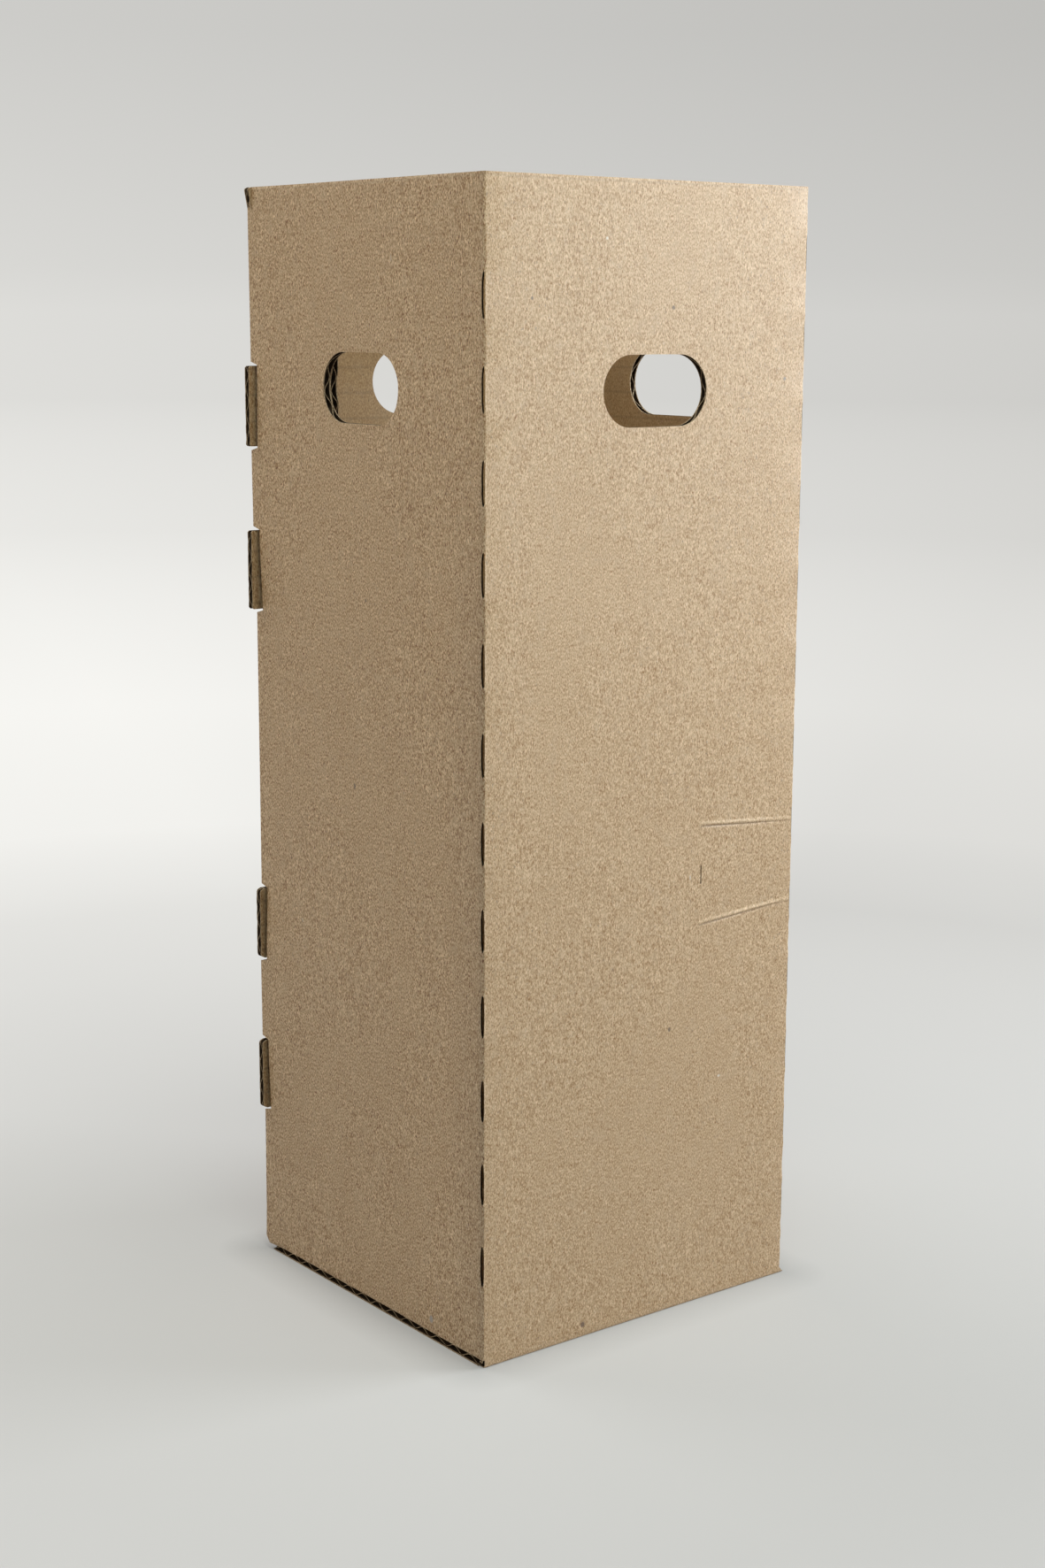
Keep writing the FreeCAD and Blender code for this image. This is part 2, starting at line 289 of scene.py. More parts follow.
def face_outwards(piece, place, direction):
    """Turn the whole sheet over if its face nearest the place doesn't look along the direction."""
    nearest = min(piece.data.polygons, key=lambda face: (face.center - place).length)
    if nearest.normal.dot(direction) < 0:
        start_editing(piece)
        bpy.ops.mesh.select_all(action="SELECT")
        bpy.ops.mesh.flip_normals()
        stop_editing()


def give_papers(piece, facing):
    """The papers that a piece can show, and the one that its present faces show."""
    piece.data.materials.clear()
    for material in papers:
        piece.data.materials.append(material)
    for face in piece.data.polygons:
        face.material_index = facing


def thicken(sheet, thickness, facing, behind, offset=-1):
    """Give an open sheet its thickness, behind its face or to both sides, with a paper for each side."""
    give_papers(sheet, facing)
    wall = sheet.modifiers.new("thickness", "SOLIDIFY")
    wall.material_offset = behind - facing
    wall.material_offset_rim = CUT - facing
    wall.thickness = thickness
    wall.offset = offset
    wall.use_even_offset = True
    select_only(sheet)
    bpy.ops.object.modifier_apply(modifier=wall.name)


def cut_out(piece, cutter):
    cut = piece.modifiers.new("cut", "BOOLEAN")
    cut.operation = "DIFFERENCE"
    cut.solver = "EXACT"
    cut.object = cutter
    select_only(piece)
    bpy.ops.object.modifier_apply(modifier=cut.name)


def join(name, pieces):
    select_only(pieces[0])
    for piece in pieces[1:]:
        piece.select_set(True)
    if len(pieces) > 1:
        bpy.ops.object.join()
    pieces[0].name = name
    pieces[0].data.name = name
    return pieces[0]


def remove(piece):
    bpy.data.objects.remove(piece, do_unlink=True)


def set_in_place():
    bpy.ops.object.transform_apply(location=True, rotation=True, scale=True)


def plane(name, place, size, rotation=(0, 0, 0)):
    bpy.ops.mesh.primitive_plane_add(size=1, location=place, rotation=rotation)
    sheet = bpy.context.active_object
    sheet.name = name
    sheet.scale = (*size, 1)
    set_in_place()
    return sheet


def ripple(x, y, z):
    return noise.noise(Vector((x, y, z)))


def smooth_step(share):
    share = min(max(share, 0.0), 1.0)
    return share * share * (3 - 2 * share)


def move_points(piece, *moves):
    """Shift each point of a mesh by the sum of what the moves say of its place."""
    for point in piece.data.vertices:
        place = point.co.copy()
        for move in moves:
            point.co += move(place)


def smooth(piece, angle=35):
    """Shade a finished piece smooth, after laying what stands outside the box of the part back on it."""
    for point in piece.data.vertices:
        for axis in range(3):
            point.co[axis] = min(max(point.co[axis], cad_low[axis]), cad_high[axis])
    select_only(piece)
    bpy.ops.object.shade_smooth_by_angle(angle=math.radians(angle))


# Sheets

def standing_sheet(name, corners, low, high):
    """A sheet on its lower edge: one plane, then its end edge extruded on from corner to corner."""
    first_run = corners[1] - corners[0]
    middle = (corners[0] + corners[1]) / 2
    turn = math.atan2(first_run.y, first_run.x)
    place = (middle.x, middle.y, (low + high) / 2)
    sheet = plane(name, place, (first_run.length, high - low), (math.pi / 2, 0, turn))
    start_editing(sheet)
    choose("EDGE", lambda edge: all((end.co.xy - corners[1]).length < 0.1 * MM for end in edge.verts))
    for here, there in zip(corners[1:], corners[2:]):
        step = there - here
        extrude_by(step.x, step.y, 0)
    stop_editing()
    return sheet


def round_upright_folds(sheet, folds, radius, segments):
    start_editing(sheet)

    def on_fold(edge):
        return is_upright(edge) and any((edge.verts[0].co.xy - fold).length < 0.1 * MM for fold in folds)

    choose("EDGE", on_fold)
    bevel_chosen(radius, segments)
    stop_editing()


def sleeve_corners(depth):
    """The path of a ply that lies this deep in the board, from the free edge round to the joint flap."""
    return [
        Vector((x_left + depth, y_back)),
        Vector((x_left + depth, y_front + depth)),
        Vector((x_right - depth, y_front + depth)),
        Vector((x_right - depth, y_back - depth)),
        Vector((x_joint + depth, y_back - depth)),
        Vector((x_joint + depth, y_back - joint_reach)),
    ]


def sleeve_sheet(name, depth, fold_radius, fold_segments, columns, rows):
    corners = sleeve_corners(depth)
    sheet = standing_sheet(name, corners, wall_foot, rim)
    round_upright_folds(sheet, corners[1:-1], fold_radius, fold_segments)
    start_editing(sheet)
    subdivide_edges(lambda edge: not is_upright(edge) and edge_run(edge).length > 60 * MM, columns - 1)
    subdivide_edges(lambda edge: not is_upright(edge) and edge_run(edge).length > 30 * MM, 2)
    subdivide_along(2, rows[0] - 1)
    subdivide_along(2, rows[1] - 1)

    def on_back_foot(edge):
        at_back = ends_at(edge, 2, wall_foot) and ends_at(edge, 1, y_back - depth)
        return at_back and all(end.co.x > x_joint for end in edge.verts)

    choose("EDGE", on_back_foot)
    extrude_by(0, 0, -wall_foot)
    stop_editing()
    face_outwards(sheet, Vector((x_left, 0, rim / 2)), Vector((-1, 0, 0)))
    return sheet


# Cutters

def box_cutter(x_range, y_range, z_range):
    size = [high - low for low, high in (x_range, y_range, z_range)]
    middle = [(low + high) / 2 for low, high in (x_range, y_range, z_range)]
    bpy.ops.mesh.primitive_cube_add(size=1, location=middle)
    cutter = bpy.context.active_object
    cutter.scale = size
    set_in_place()
    return cutter


def hole_cutter(middle, along_x, reach):
    turn = (math.pi / 2, 0, 0) if along_x else (0, math.pi / 2, 0)
    bpy.ops.mesh.primitive_cylinder_add(
        vertices=50, radius=hole_height / 2, depth=reach, location=middle, rotation=turn
    )
    cutter = bpy.context.active_object
    set_in_place()
    axis = 0 if along_x else 1
    half_run = (hole_length - hole_height) / 2
    for sign in (-1, 1):
        start_editing(cutter)
        choose("VERT", lambda point: sign * (point.co[axis] - middle[axis]) > (0 if sign > 0 else 1e-7))
        step = [0, 0, 0]
        step[axis] = sign * half_run
        bpy.ops.transform.translate(value=step)
        stop_editing()
    return cutter


def slit_cutter(corner, outward, level):
    """A lens-shaped bar pushed in through a fold, pointed at its top and bottom."""
    turn = math.atan2(outward.y, outward.x)
    place = (corner.x, corner.y, level)
    bpy.ops.mesh.primitive_cylinder_add(
        vertices=12, radius=0.5, depth=1, location=place, rotation=(math.pi / 2, 0, turn + math.pi / 2)
    )
    cutter = bpy.context.active_object
    cutter.scale = (slit_width, slit_length, 9 * MM)
    set_in_place()
    side = Vector((-outward.y, outward.x))
    for point in cutter.data.vertices:
        share = (point.co.z - level) / (slit_length / 2)
        wide = (point.co.xy - corner).dot(side)
        lens = math.copysign(slit_width / 2 * (1 - share ** 6), wide) - wide
        if abs(wide) > 1e-6:
            point.co.xy += side * lens
    return cutter


def notch_cutter(low, high):
    x_range = (x_left - 2 * MM, x_joint - joint_gap / 2)
    y_range = (y_back - notch_depth, y_back + 2 * MM)
    cutter = box_cutter(x_range, y_range, (low - notch_gap, high + notch_gap))
    for point in cutter.data.vertices:
        if point.co.y > y_back:
            point.co.z += math.copysign(notch_flare, point.co.z - (low + high) / 2)
    return cutter


def foot_corner_cutter():
    spare = 3 * MM
    cutter = box_cutter(
        (x_left - spare, x_joint - joint_gap / 2),
        (y_back - foot_chamfer - spare, y_back + spare),
        (wall_foot - spare, wall_foot + foot_chamfer + spare),
    )
    start_editing(cutter)
    bpy.ops.mesh.select_all(action="SELECT")
    bpy.ops.mesh.bisect(
        plane_co=(0, y_back - foot_chamfer, wall_foot),
        plane_no=(0, -1, 1),
        use_fill=True,
        clear_outer=True,
    )
    stop_editing()
    return cutter


def corner_cutter():
    """The slanting cut at the top of the left wall's free edge, beside the back wall's corner."""
    spare = 3 * MM
    slope = corner_depth / corner_height
    x_range = (x_left - spare, x_joint - joint_gap / 2)
    y_range = (y_back - corner_depth, y_back + spare)
    cutter = box_cutter(x_range, y_range, (rim - corner_height - 1 * MM, rim + spare))
    for point in cutter.data.vertices:
        if point.co.y < y_back:
            point.co.y = y_back - slope * (point.co.z - rim + corner_height)
    return cutter


def slit_folds(shift=0.0):
    """Each fold that has slits: its place, its outward direction and the levels of its slits."""
    return [
        (Vector((x_left, y_front + shift)), Vector((-1, -1)).normalized(), slit_row),
        (Vector((x_right, y_front)), Vector((1, -1)).normalized(), right_slit_row),
        (Vector((x_right, y_back)), Vector((1, 1)).normalized(), slit_row),
    ]


def sleeve_cutters():
    reach = 2 * (board + joint_gap) + 6 * MM
    cutters = [
        hole_cutter((hole_front_x, y_front, hole_level), True, reach),
        hole_cutter((hole_back_x, y_back, hole_level), True, reach),
        hole_cutter((x_left, hole_left_y, hole_level), False, 2 * reach),
        hole_cutter((x_right, hole_right_y, hole_level), False, reach),
    ]
    for corner, outward, row in slit_folds(slit_shift):
        cutters += [slit_cutter(corner, outward, level) for level in row]
    for low, high, end, radius in tab_table:
        cutters.append(notch_cutter(low, high))
        window_x = (x_joint - joint_gap / 2 + 0.02 * MM, tab_root)
        cutters.append(box_cutter(window_x, (y_back - window_reach, y_back + 2 * MM), (low, high)))
    joint_x = (x_joint - 0.05 * MM, x_joint + board + 1 * MM)
    joint_y = (y_back - joint_reach - 1 * MM, y_lip - board)
    cutters.append(box_cutter(joint_x, joint_y, (wall_foot - 1 * MM, dust_top + 0.3 * MM)))
    cutters.append(foot_corner_cutter())
    cutters.append(corner_cutter())
    nick_x = (mark_start, mark_start + 0.45 * MM)
    cutters.append(box_cutter(nick_x, (y_front - 1 * MM, y_front + board + 1 * MM), (nick_low, nick_high)))
    cutter = join("sleeve_cutters", cutters)
    give_papers(cutter, CUT)
    return cutter


def dust_root_cutters():
    """Room for the roots of the dust flaps in the plies behind the outer liner."""
    y_range = (dust_front, dust_back)
    z_range = (wall_foot - 1 * MM, dust_top)
    left = box_cutter((x_left + liner + 0.05 * MM, x_joint - joint_gap / 2), y_range, z_range)
    right = box_cutter((x_right - board - 1 * MM, x_right - liner - 0.05 * MM), y_range, z_range)
    cutter = join("dust_root_cutters", [left, right])
    give_papers(cutter, CUT)
    return cutter


# Small moves that make folded board of straight sheets

def wall_side(place):
    """The outward direction of the wall that a place is in, or None in a fold or the joint flap."""
    deep = board + 0.05 * MM
    if place.x < x_left + deep and place.y > y_front + 3 * MM:
        return Vector((-1, 0, 0))
    if place.y < y_front + deep and x_left + 3 * MM < place.x < x_right - 3 * MM:
        return Vector((0, -1, 0))
    if place.x > x_right - deep and y_front + 3 * MM < place.y < y_back - 3 * MM:
        return Vector((1, 0, 0))
    if place.y > y_back - deep and x_joint + 6 * MM < place.x < x_right - 3 * MM:
        return Vector((0, 1, 0))
    return None


def fold_distance(place, side):
    if abs(side.x) > 0.5:
        return min(place.y - y_front, y_back - place.y)
    return min(place.x - x_left, x_right - place.x)


def on_left_wall(place):
    return place.x < x_left + board + 0.05 * MM and place.y > y_front + 3 * MM


def free_edge_bow(place):
    """The left wall's free edge stands off a little, more beside the tabs."""
    if not on_left_wall(place):
        return Vector()
    level = place.z / rim
    offset = edge_bow[-1][1]
    for (low, near), (high, far) in zip(edge_bow, edge_bow[1:]):
        if low <= level < high:
            offset = near + (far - near) * smooth_step((level - low) / (high - low))
    reach = smooth_step((place.y - y_back + edge_bow_reach) / edge_bow_reach)
    return Vector((-offset * MM * reach, 0, 0))


def slit_pouts(place):
    """Beside a slit the fold keeps its sharp corner, and between slits it is pressed in unevenly."""
    for corner, outward, row in slit_folds():
        from_corner = (place.xy - corner).length
        if from_corner > 6 * MM:
            continue
        near = min(abs(place.z - level) for level in row)
        lens = max(0.0, 1 - (near / (0.62 * slit_length)) ** 2)
        reach = 1 - smooth_step((from_corner - 0.4 * MM) / (2.2 * MM))
        crush = ripple(corner.x * 900, corner.y * 700, place.z * 260) * 0.16 * MM
        push = slit_pout * lens * reach + crush * reach * (1 - lens) - 0.08 * MM * reach * (1 - lens)
        return Vector((outward.x * push, outward.y * push, 0))
    return Vector()


def wall_swell(place):
    side = wall_side(place)
    if side is None:
        return Vector()
    along = place.y if abs(side.x) > 0.5 else place.x
    seed = side.x * 3.1 + side.y * 5.7
    broad = ripple(along * 22, place.z * 14, seed)
    narrow = ripple(along * 55, place.z * 60, seed + 9)
    fade = smooth_step((fold_distance(place, side) - 2 * MM) / (14 * MM))
    return side * (broad * 0.32 * MM + narrow * 0.06 * MM - 0.24 * MM) * fade


def washboard(place):
    side = wall_side(place)
    if side is None:
        return Vector()
    along = place.y if abs(side.x) > 0.5 else place.x
    strength = 0.5 + ripple(along * 16, place.z * 20, side.x * 4 + side.y * 7)
    wave = math.cos(2 * math.pi * place.z / flute_pitch)
    fade = smooth_step((fold_distance(place, side) - 1 * MM) / (10 * MM))
    return side * (0.026 * MM * strength * wave * fade)


def pressed_marks(place):
    """Two ridges pressed up from the front wall, each with a groove along its lower side."""
    if place.y > y_front + liner * 1.5 or not mark_start - 1 * MM < place.x < mark_end + 1 * MM:
        return Vector()
    share = (place.x - mark_start) / (mark_end - mark_start)
    ends = smooth_step(share * 12) * smooth_step((1 - share) * 30)
    push = 0.0
    for level, rise in marks:
        bend = mark_sag * math.sin(math.pi * share)
        off = place.z - (level + rise * share - bend)
        ridge = math.exp(-((off - 0.15 * MM) / (0.45 * MM)) ** 2)
        groove = math.exp(-((off + 0.75 * MM) / (0.3 * MM)) ** 2)
        push += 0.17 * MM * ridge - 0.26 * MM * (1 - 0.6 * share) * groove
    return Vector((0, -push * ends, 0))


def foot_roll(place):
    deep = liner + 0.02 * MM
    sign = 1 if place.x < x_left + deep else -1 if place.x > x_right - deep else 0
    drop = wall_foot + fold_outside - place.z
    if sign == 0 or drop <= 0 or place.z < wall_foot - 0.01 * MM:
        return Vector()
    front_fade = smooth_step((place.y - y_front - 1.5 * MM) / (2.4 * MM))
    back_fade = smooth_step((y_back - 2 * MM - place.y) / (3 * MM))
    turn = drop / fold_outside * math.pi / 2
    sink = drop - fold_outside * math.sin(turn)
    roll = Vector((sign * fold_outside * (1 - math.cos(turn)), 0, sink))
    return roll * front_fade * back_fade


def foot_skirt(place):
    if place.x > x_left + liner + 0.02 * MM or place.z < wall_foot - 0.01 * MM:
        return Vector()
    near = 1 - smooth_step((place.z - wall_foot) / (6 * MM))
    front_fade = smooth_step((place.y - y_front - 1.2 * MM) / (2.0 * MM))
    return Vector((0, 0, -skirt_drop * near * front_fade))


def rim_roll(place):
    drop = smooth_step((place.z - (rim - 1.0 * MM)) / (1.0 * MM)) * 0.16 * MM
    side = wall_side(place)
    return Vector() if side is None else -side * drop


def flute_height(run):
    """How far the medium stands off the middle of the board, this far along it."""
    return math.cos(2 * math.pi * run / flute_pitch) * flute_rise


def flute_wave(place):
    """The medium swings from liner to liner, and lies flatter where a fold has crushed it."""
    wave = flute_height(place.z)
    joint = place.y > y_front + 6 * MM and x_joint < place.x < x_joint + board
    side = Vector((-1, 0, 0)) if joint and place.y < y_back - 4 * MM else wall_side(place)
    if side is None:
        return Vector()
    distance = min(fold_distance(place, side), 8 * MM)
    if on_left_wall(place):
        distance = min(place.y - y_front, 8 * MM)
    return side * wave * smooth_step((distance - 1 * MM) / (3 * MM))


# Pieces of the sleeve

def outer_liner():
    sheet = sleeve_sheet("outer_liner", 0, fold_outside, 6, 12, (17, 20))
    start_editing(sheet)
    for share in (0.25, 0.5, 0.75, 1.0):
        cut_across((0, 0, wall_foot + fold_outside * share), (0, 0, 1))
    for drop in (0.3, 0.6):
        cut_across((0, 0, rim - drop * MM), (0, 0, 1))
    for level, rise in marks:
        slope = rise / (mark_end - mark_start)
        for index in range(-5, 6):
            place = (mark_start, y_front, level + index * 0.32 * MM - 0.5 * MM)
            choose(
                "FACE",
                lambda face: face.normal.y < -0.9 and face.calc_center_median().x > mark_start - 12 * MM,
            )
            bpy.ops.mesh.bisect(plane_co=place, plane_no=(-slope, 0, 1))
    for index in range(12):
        place = (mark_start + (mark_end - mark_start) * index / 11, 0, 0)
        choose(
            "FACE",
            lambda face: face.normal.y < -0.9 and 115 * MM < face.calc_center_median().z < 160 * MM,
        )
        bpy.ops.mesh.bisect(plane_co=place, plane_no=(1, 0, 0))
    stop_editing()
    thicken(sheet, liner, KRAFT, CHANNEL_SHADE)
    return sheet


def flute_medium():
    sheet = sleeve_sheet("flute_medium", board / 2, fold_middle, 3, 5, (21, 24))
    start_editing(sheet)
    for distance in (4 * MM, 9 * MM):
        for fold in (x_left + distance, x_right - distance):
            cut_across((fold, 0, 0), (1, 0, 0))
        for fold in (y_front + distance, y_back - distance):
            cut_across((0, fold, 0), (0, 1, 0))
    stop_editing()
    move_points(sheet, flute_wave)
    thicken(sheet, medium, CHANNEL_SHADE, CHANNEL_SHADE, 0)
    return sheet


def inner_liner():
    sheet = sleeve_sheet("inner_liner", board - liner, fold_inside, 3, 10, (17, 20))
    thicken(sheet, liner, CHANNEL_SHADE, INNER)
    return sheet


def sleeve_plies():
    """The three plies of the sleeve, cut out together and then bent as hand folding leaves them."""
    outer = outer_liner()
    middle = flute_medium()
    inner = inner_liner()
    cutters = sleeve_cutters()
    roots = dust_root_cutters()
    for ply in (outer, middle, inner):
        cut_out(ply, cutters)
    for ply in (middle, inner):
        cut_out(ply, roots)
    remove(cutters)
    remove(roots)
    shared = [free_edge_bow, slit_pouts, wall_swell]
    move_points(outer, *shared, washboard, pressed_marks, foot_roll, foot_skirt, rim_roll)
    move_points(middle, *shared)
    move_points(inner, *shared, washboard)
    for ply in (outer, middle, inner):
        smooth(ply)
    return outer, middle, inner


def flat_ply(x_range, z_range, y, radius, rows):
    place = (sum(x_range) / 2, y, sum(z_range) / 2)
    size = (x_range[1] - x_range[0], z_range[1] - z_range[0])
    sheet = plane("ply", place, size, (math.pi / 2, 0, 0))
    start_editing(sheet)
    subdivide_along(2, rows - 1)
    subdivide_along(0, 5)
    stop_editing()

    def round_corner(place):
        over = min(place.z - z_range[0], z_range[1] - place.z)
        if over >= radius or place.x > x_range[0] + 3 * MM:
            return Vector()
        share = 1 - over / radius
        inset = radius * (1 - math.sqrt(max(0.0, 1 - share ** 2)))
        weight = 1 - (place.x - x_range[0]) / (3 * MM)
        return Vector((inset * max(weight, 0.0), 0, 0))

    move_points(sheet, round_corner)
    return sheet


def back_wall_plies(name, x_range, z_range, radius, rows, shape=lambda place: Vector()):
    """A piece of the back wall: two liners with the medium between them."""
    plies = []
    for y, thickness, facing, behind in (
        (y_back - liner / 2, liner, CHANNEL_SHADE, KRAFT),
        (y_back - board / 2, medium, CHANNEL_SHADE, CHANNEL_SHADE),
        (y_back - board + liner / 2, liner, INNER, CHANNEL_SHADE),
    ):
        sheet = flat_ply(x_range, z_range, y, radius, rows)
        move_points(sheet, shape)
        if facing == behind:
            move_points(sheet, lambda place: Vector((0, flute_height(place.z), 0)))
        thicken(sheet, thickness, facing, behind, 0)
        plies.append(sheet)
    return join(name, plies)


def corner_tab(index, low, high, end, radius):
    """A tab of the back wall, bruised at its end where it was pushed out past the left wall."""
    tab = back_wall_plies("corner_tab_" + str(index), (end, tab_root), (low, high), radius, 48)

    def bruise(place):
        near_end = 1 - smooth_step((place.x - end) / (2.5 * MM))
        rough = ripple(index * 7.3, place.y * 300, place.z * 420)
        lean = ripple(index * 3.9 + 20, 0, place.z * 120)
        return Vector((max(rough, 0) * 0.25 * MM, lean * 0.12 * MM, 0)) * near_end

    move_points(tab, bruise)
    smooth(tab)
    return tab


def back_corner():
    """The top corner of the back wall: the fold is cut away there, so the board runs straight out."""
    x_range = (x_left - corner_reach, x_joint + board)
    z_range = (rim - corner_height - 3 * MM, rim)

    def slope(place):
        drop = rim - place.z
        reach = corner_reach - (corner_reach - corner_foot_reach) * drop / corner_height
        if drop < corner_round:
            over = corner_round - drop
            reach -= corner_round - math.sqrt(corner_round ** 2 - over ** 2)
        weight = max(0.0, 1 - (place.x - x_range[0]) / (3 * MM))
        return Vector(((corner_reach - reach) * weight, 0, 0))

    corner = back_wall_plies("back_wall_corner", x_range, z_range, 0.1 * MM, 24, slope)
    smooth(corner)
    return corner


# Dust flaps

def level_sheet(name, x_range, y_range, z):
    size = (x_range[1] - x_range[0], y_range[1] - y_range[0])
    return plane(name, (sum(x_range) / 2, sum(y_range) / 2, z), size)


def dust_flap(name, root, tip):
    x_range = (min(root, tip), max(root, tip))
    plies = []
    for ply, level in (("low", liner / 2), ("wave", board / 2), ("top", board - liner / 2)):
        sheet = level_sheet(ply, x_range, (dust_front, dust_back), wall_foot + level)
        start_editing(sheet)
        choose("VERT", lambda point: abs(point.co.x - tip) < 0.01 * MM)
        width = dust_back - dust_front
        bpy.ops.transform.resize(
            value=(1, (width - 2 * dust_taper) / width, 1),
            center_override=(tip, (dust_front + dust_back) / 2, 0),
        )
        subdivide_edges(lambda edge: abs(edge_run(edge).x) > 0.5 * edge_run(edge).length, 76)
        stop_editing()
        if ply == "wave":
            move_points(sheet, lambda place: Vector((0, 0, flute_height(place.x))))
        facing, behind = {"low": (CHANNEL_SHADE, KRAFT), "wave": (CHANNEL_SHADE, CHANNEL_SHADE), "top": (INNER, CHANNEL_SHADE)}[ply]
        thicken(sheet, medium if ply == "wave" else liner, facing, behind, 0)
        plies.append(sheet)
    flap = join(name, plies)
    middle = (dust_front + dust_back) / 2

    def spring(place):
        share = abs(place.x - root) / dust_reach
        sway = ripple(place.x * 30, place.y * 30, root * 50)
        return Vector((0, 0, 0.25 * MM * share ** 2 + 0.12 * MM * max(sway, 0) * share))

    move_points(flap, spring)
    smooth(flap)
    return flap


# Bottom flap

def panel_ply(name, depth, radius, rows):
    """One ply of the bottom flap: a level plane whose far edge is drawn up into the tuck lip."""
    sheet = level_sheet(name, (x_left + 0.4 * MM, panel_tip), (panel_start, y_lip - depth), depth)
    start_editing(sheet)
    cut_across((lip_left, 0, 0), (1, 0, 0))
    cut_across((lip_right, 0, 0), (1, 0, 0))

    def far_edge(edge):
        within = all(lip_left - 0.01 * MM < end.co.x < lip_right + 0.01 * MM for end in edge.verts)
        return within and ends_at(edge, 1, y_lip - depth)

    choose("EDGE", far_edge)
    extrude_by(0, 0, lip_top - depth)
    choose("EDGE", lambda edge: far_edge(edge) and all(end.co.z < depth + 0.01 * MM for end in edge.verts))
    bevel_chosen(radius, 4)
    subdivide_along(1, rows - 1, 50 * MM)
    subdivide_along(2, 19, 5 * MM)
    subdivide_along(0, 7, 50 * MM)
    stop_editing()
    face_outwards(sheet, Vector((0, 0, depth)), Vector((0, 0, -1)))
    return sheet


def lip_outline(place):
    rise = place.z - 2 * board
    if rise <= 0 or place.y < y_lip - 2 * board:
        return Vector()
    height = lip_top - 2 * board
    half = (lip_right - lip_left) / 2
    inset = lip_taper * rise / height
    over = rise - (height - lip_round)
    if over > 0:
        inset += lip_round - math.sqrt(max(0.0, lip_round ** 2 - over ** 2))
    middle = (lip_left + lip_right) / 2
    return Vector((-(place.x - middle) / half * inset, 0, 0))


def panel_wave(place):
    if place.z < board / 2 + 0.02 * MM and place.y < y_lip - board:
        return Vector((0, 0, -flute_height(place.y)))
    if place.z > board:
        return Vector((0, -flute_height(place.z), 0))
    return Vector()


def bottom_panel():
    outer = panel_ply("outer", 0, fold_outside, 20)
    wave = panel_ply("wave", board / 2, fold_middle, 172)
    inner = panel_ply("inner", board - liner, fold_inside, 20)
    move_points(wave, panel_wave)

    def crushed_back(place):
        """The left edge of a ply behind the outer liner lies back, so that the open flutes show."""
        near = 1 - smooth_step((place.x - x_left) / (3 * MM))
        rough = ripple(0, place.y * 240, 3.7)
        back = 1.3 + 0.5 * rough if place.z > board / 2 + flute_rise + 0.02 * MM else 0.3 + 0.4 * rough
        return Vector((back * MM * near, 0, 0)) if place.z < board else Vector()

    move_points(inner, crushed_back)
    move_points(wave, crushed_back)
    thicken(wave, medium, CHANNEL_SHADE, CHANNEL_SHADE, 0)
    thicken(outer, 1.4 * liner, KRAFT, CHANNEL_SHADE)
    thicken(inner, liner, CHANNEL_SHADE, INNER)
    panel = join("bottom_panel", [outer, wave, inner])
    move_points(panel, lip_outline)
    smooth(panel)
    return panel


def foot_skin(name, depth, radius, thickness, facing):
    """A strip of board that bends from the foot of the front wall into the bottom flap."""
    x_range = (x_left + 0.9 * MM, x_right - 0.9 * MM)
    sheet = level_sheet(name, x_range, (y_front + depth, panel_start), depth)
    start_editing(sheet)
    choose("EDGE", lambda edge: ends_at(edge, 1, y_front + depth))
    extrude_by(0, 0, wall_foot - depth)
    choose("EDGE", lambda edge: ends_at(edge, 1, y_front + depth) and ends_at(edge, 2, depth))
    bevel_chosen(radius, 6)
    subdivide_along(0, 30, 50 * MM)
    stop_editing()
    face_outwards(sheet, Vector((0, panel_start, depth)), Vector((0, 0, -1)))
    thicken(sheet, thickness, facing, CHANNEL_SHADE)
    return sheet


def foot_fold():
    skin = foot_skin("skin", 0, fold_outside, liner, KRAFT)
    core = foot_skin("core", 1.1 * MM, fold_middle, 0.5 * MM, CHANNEL_SHADE)
    fold = join("front_foot_fold", [skin, core])

    def torn_tip(place):
        """The low end of the fold sticks out at the right."""
        low = 1 - smooth_step((place.z - 0.5 * MM) / (0.7 * MM))
        right = smooth_step((place.x - x_right + 2.5 * MM) / (1.5 * MM))
        return Vector((1.7 * MM * low * right, 0, 0))

    move_points(fold, torn_tip)
    smooth(fold)
    return fold


# Materials

def add_node(tree, kind, inputs=None, **settings):
    node = tree.nodes.new(kind)
    for key, value in settings.items():
        setattr(node, key, value)
    for key, value in (inputs or {}).items():
        if isinstance(value, bpy.types.NodeSocket):
            tree.links.new(value, node.inputs[key])
        else:
            node.inputs[key].default_value = value
    return node


def math_node(tree, operation, first, second=0.0, third=0.0):
    node = add_node(tree, "ShaderNodeMath", {0: first, 1: second, 2: third}, operation=operation)
    return node.outputs[0]


def maths(operation):
    return lambda tree, *values: math_node(tree, operation, *values)


plus = maths("ADD")
minus = maths("SUBTRACT")
times = maths("MULTIPLY")
times_plus = maths("MULTIPLY_ADD")
below = maths("LESS_THAN")


def vector_node(tree, operation, first, second=(0, 0, 0)):
    return add_node(tree, "ShaderNodeVectorMath", {0: first, 1: second}, operation=operation).outputs[0]


def length_of(tree, vector):
    return add_node(tree, "ShaderNodeVectorMath", {0: vector}, operation="LENGTH").outputs["Value"]


def axes(tree, place):
    return tuple(add_node(tree, "ShaderNodeSeparateXYZ", {0: place}).outputs)


def ramp_between(tree, value, low, high, low_to=0.0, high_to=1.0):
    node = add_node(
        tree,
        "ShaderNodeMapRange",
        {"Value": value, "From Min": low, "From Max": high, "To Min": low_to, "To Max": high_to},
    )
    return node.outputs[0]


